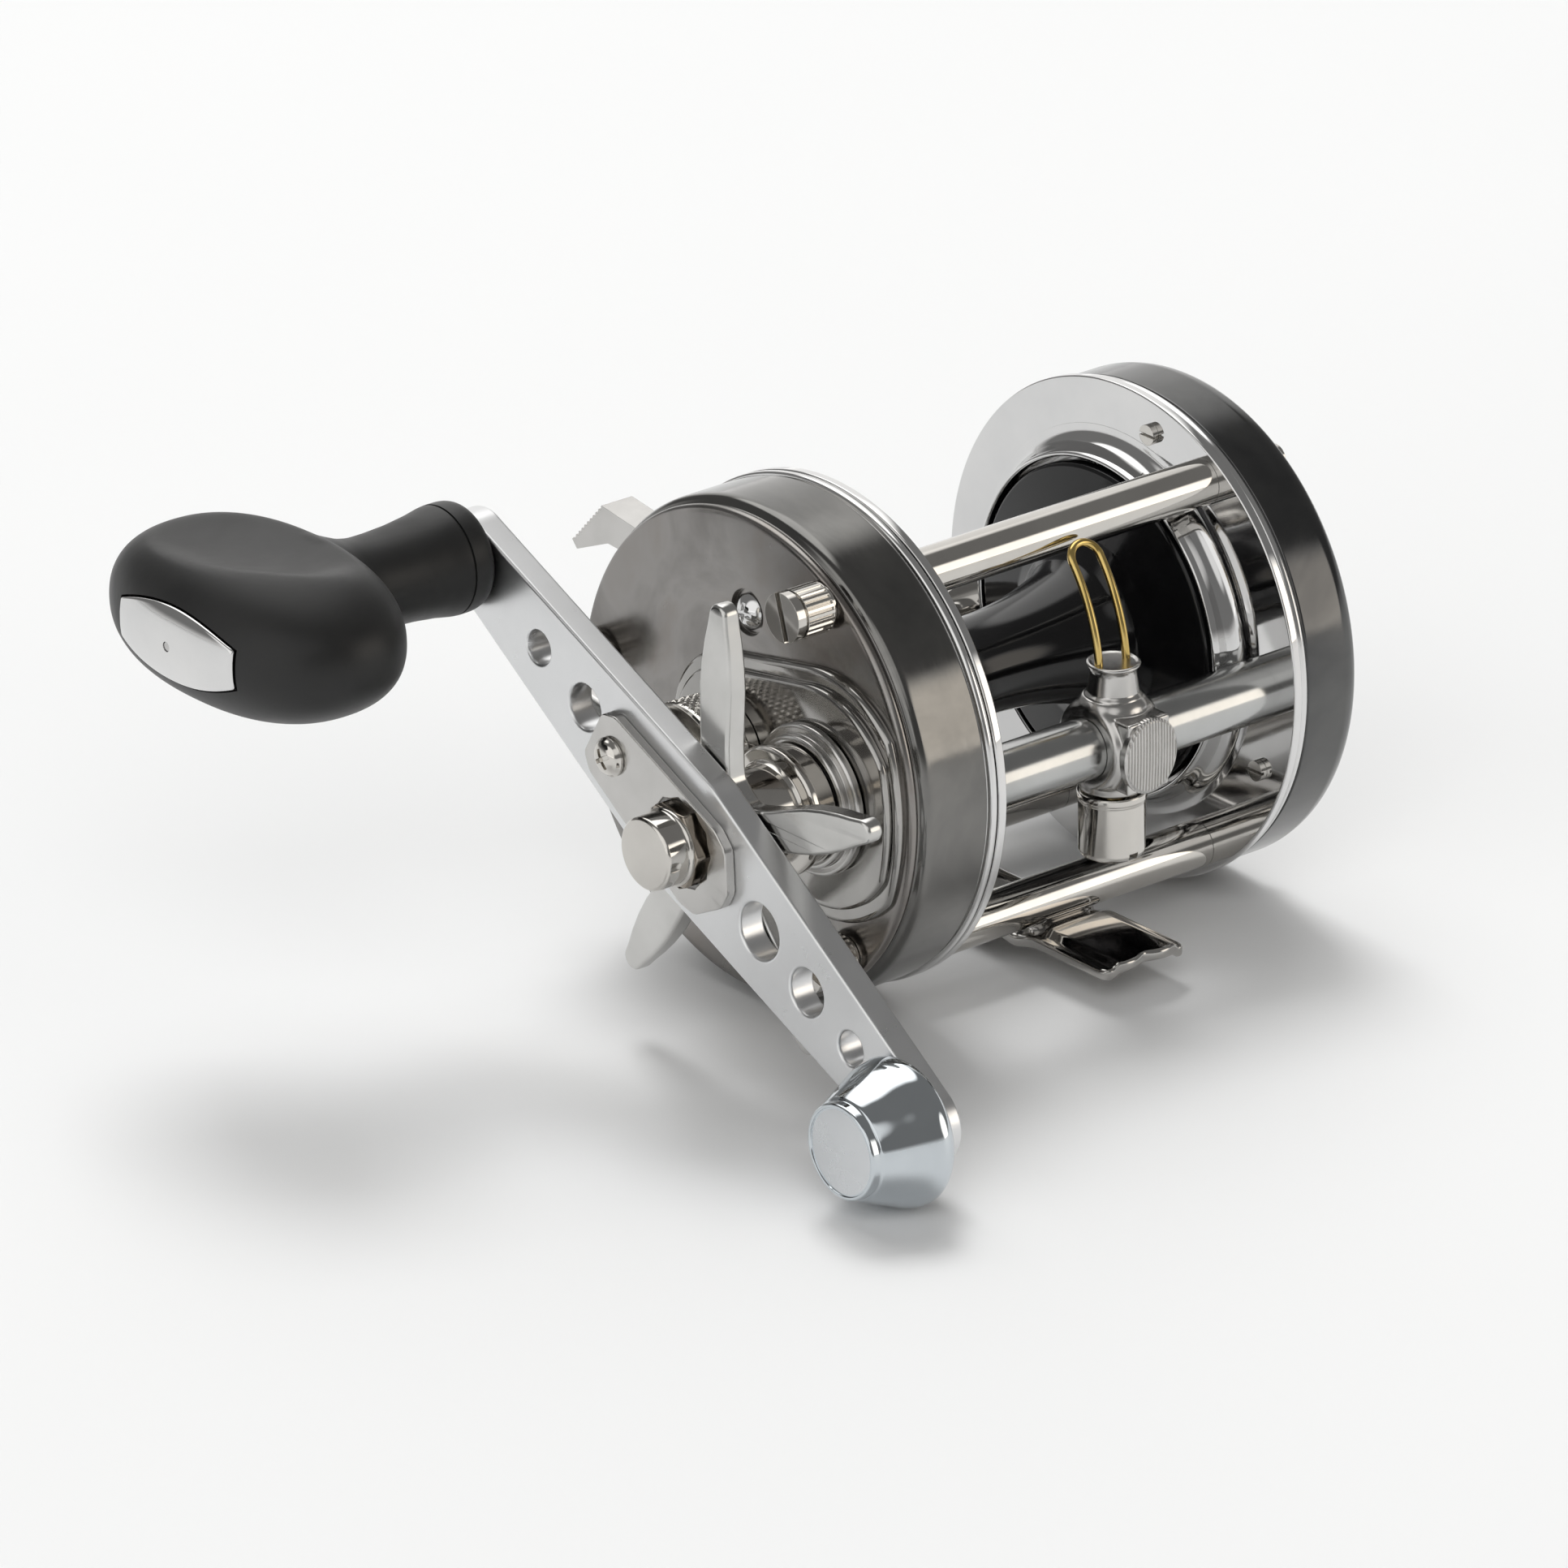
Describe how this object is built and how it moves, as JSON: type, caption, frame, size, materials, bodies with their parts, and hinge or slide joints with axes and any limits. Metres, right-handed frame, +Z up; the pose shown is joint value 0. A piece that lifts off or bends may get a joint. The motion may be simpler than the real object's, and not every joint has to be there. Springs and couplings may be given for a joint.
{
  "type": "trolling reel",
  "caption": "Round side-plate trolling reel with level wind, star drag, counterweighted crank and a paddle knob, for a rod with a reel seat.",
  "frame": {"origin": "underside of the reel foot on its centre line, midway between the side plates and below their centres", "axes": "+X along the spool axis from the crank side to the far side, -Y towards the line guide, +Z up away from the rod"},
  "size_m": [0.1237, 0.0991, 0.0578],
  "materials": {
    "chrome": "mirror chrome plate",
    "nickel": "bright nickel plate",
    "satin_nickel": "satin nickel plate",
    "arm_alloy": "satin anodised, polished edges",
    "counterweight_chrome": "polished chrome",
    "gunmetal": "satin gunmetal, cloudy",
    "steel": "machined steel",
    "brass": "machined brass",
    "bearing_bronze": "sintered bronze",
    "drag_fibre": "pressed fibre",
    "knob_rubber": "soft matt black",
    "spool_black": "gloss black",
    "carrier_plastic": "moulded nylon"
  },
  "bodies": {
    "frame": {"crank_side_ring": "chrome", "far_side_ring": "chrome", "top_pillar": "nickel", "front_pillar": "nickel", "foot_pillar": "nickel", "rear_pillar": "nickel", "plate_screws": "nickel", "reel_foot": "chrome", "foot_rivets": "nickel", "guide_tube": "satin_nickel", "worm_bushings": "bearing_bronze", "crank_side_cup": "gunmetal", "far_side_cup": "gunmetal", "gear_plate": "steel", "brake_plate": "steel", "shaft_bushing": "nickel", "face_screw": "chrome", "spool_bearings": "steel"},
    "crank": {"drive_shaft": "steel", "main_gear": "brass", "level_wind_drive_gear": "brass", "ratchet_wheel": "steel", "drag_washers": "drag_fibre", "pressure_plate": "steel", "drag_sleeve": "steel", "drag_springs": "steel", "crank_arm": "arm_alloy", "lock_plate": "satin_nickel", "lock_screw": "nickel", "crank_nut": "nickel", "counterweight": "counterweight_chrome", "counterweight_rivet": "steel", "knob_spindle": "steel"},
    "knob": {"knob_grip": "knob_rubber", "knob_badge": "nickel", "badge_pin": "chrome", "knob_bushings": "bearing_bronze"},
    "star_drag": {"star_hub": "nickel", "drag_star": "satin_nickel"},
    "spool_unit": {"spool": "spool_black", "spool_shaft": "steel", "brake_carrier": "carrier_plastic", "brake_blocks": "carrier_plastic", "click_gear": "brass"},
    "yoke": {"pinion_yoke": "steel", "yoke_springs": "steel"},
    "pinion": {"pinion_gear": "brass"},
    "worm": {"worm_shaft": "steel", "worm_gear": "brass"},
    "level_wind_guide": {"line_guide": "satin_nickel", "guide_wire": "brass", "pawl_cap": "nickel"},
    "pawl": {"guide_pawl": "brass"},
    "thumb_lever": {"thumb_bar": "nickel"},
    "dog": {"antireverse_dog": "steel"},
    "clicker": {"click_button": "nickel"},
    "spool_tension": {"tension_cap": "nickel"},
    "screw_top": {"thumbscrew_top": "nickel"},
    "screw_front": {"thumbscrew_front": "nickel"},
    "screw_rear": {"thumbscrew_rear": "nickel"}
  },
  "joints": [
    {"name": "handle_turn", "type": "hinge", "parent": "frame", "child": "crank", "pos_m": [0, -0.01372, 0.0251], "axis": [1, 0, 0], "continuous": true},
    {"name": "knob_spin", "type": "hinge", "parent": "crank", "child": "knob", "pos_m": [-0.05, 0.02287, 0.04572], "axis": [1, 0, 0], "continuous": true},
    {"name": "star_turn", "type": "hinge", "parent": "crank", "child": "star_drag", "pos_m": [-0.046, -0.01372, 0.0251], "axis": [1, 0, 0], "range_deg": [-180, 180]},
    {"name": "spool_spin", "type": "hinge", "parent": "frame", "child": "spool_unit", "pos_m": [0, 0.0005, 0.026], "axis": [1, 0, 0], "continuous": true},
    {"name": "yoke_shift", "type": "slide", "parent": "frame", "child": "yoke", "axis": [-1, 0, 0], "range_m": [0, 0.0006]},
    {"name": "pinion_spin", "type": "hinge", "parent": "yoke", "child": "pinion", "pos_m": [-0.02625, 0.0005, 0.026], "axis": [1, 0, 0], "continuous": true},
    {"name": "worm_spin", "type": "hinge", "parent": "frame", "child": "worm", "pos_m": [0, -0.02212, 0.0251], "axis": [1, 0, 0], "continuous": true},
    {"name": "guide_travel", "type": "slide", "parent": "frame", "child": "level_wind_guide", "axis": [1, 0, 0], "range_m": [-0.0122, 0.013]},
    {"name": "pawl_swivel", "type": "hinge", "parent": "level_wind_guide", "child": "pawl", "pos_m": [-0.0004, -0.02212, 0.0191], "axis": [0, 0, 1], "range_deg": [-25, 25]},
    {"name": "thumb_press", "type": "hinge", "parent": "frame", "child": "thumb_lever", "pos_m": [-0.02525, 0.0155, 0.0343], "axis": [1, 0, 0], "range_deg": [-8, 0]},
    {"name": "dog_swing", "type": "hinge", "parent": "frame", "child": "dog", "pos_m": [-0.02425, -0.0166, 0.0129], "axis": [1, 0, 0], "range_deg": [-8, 0]},
    {"name": "click_slide", "type": "slide", "parent": "frame", "child": "clicker", "axis": [0, 0, 1], "range_m": [0, 0.0019]},
    {"name": "tension_turn", "type": "hinge", "parent": "frame", "child": "spool_tension", "pos_m": [-0.03725, 0.0005, 0.026], "axis": [1, 0, 0], "range_deg": [-180, 180]},
    {"name": "screw_top_turn", "type": "hinge", "parent": "frame", "child": "screw_top", "pos_m": [-0.03325, -0.0129, 0.0461], "axis": [1, 0, 0], "range_deg": [0, 360]},
    {"name": "screw_front_turn", "type": "hinge", "parent": "frame", "child": "screw_front", "pos_m": [-0.03325, -0.01666, 0.00755], "axis": [1, 0, 0], "range_deg": [0, 360]},
    {"name": "screw_rear_turn", "type": "hinge", "parent": "frame", "child": "screw_rear", "pos_m": [-0.03325, 0.0239, 0.0289], "axis": [1, 0, 0], "range_deg": [0, 360]}
  ],
  "couplings": [
    {"joint": "spool_spin", "follows": "handle_turn", "ratio": -4.7},
    {"joint": "pinion_spin", "follows": "handle_turn", "ratio": -4.7},
    {"joint": "worm_spin", "follows": "handle_turn", "ratio": -1.8},
    {"joint": "yoke_shift", "follows": "thumb_press", "m_per_rad": -0.004297}
  ]
}
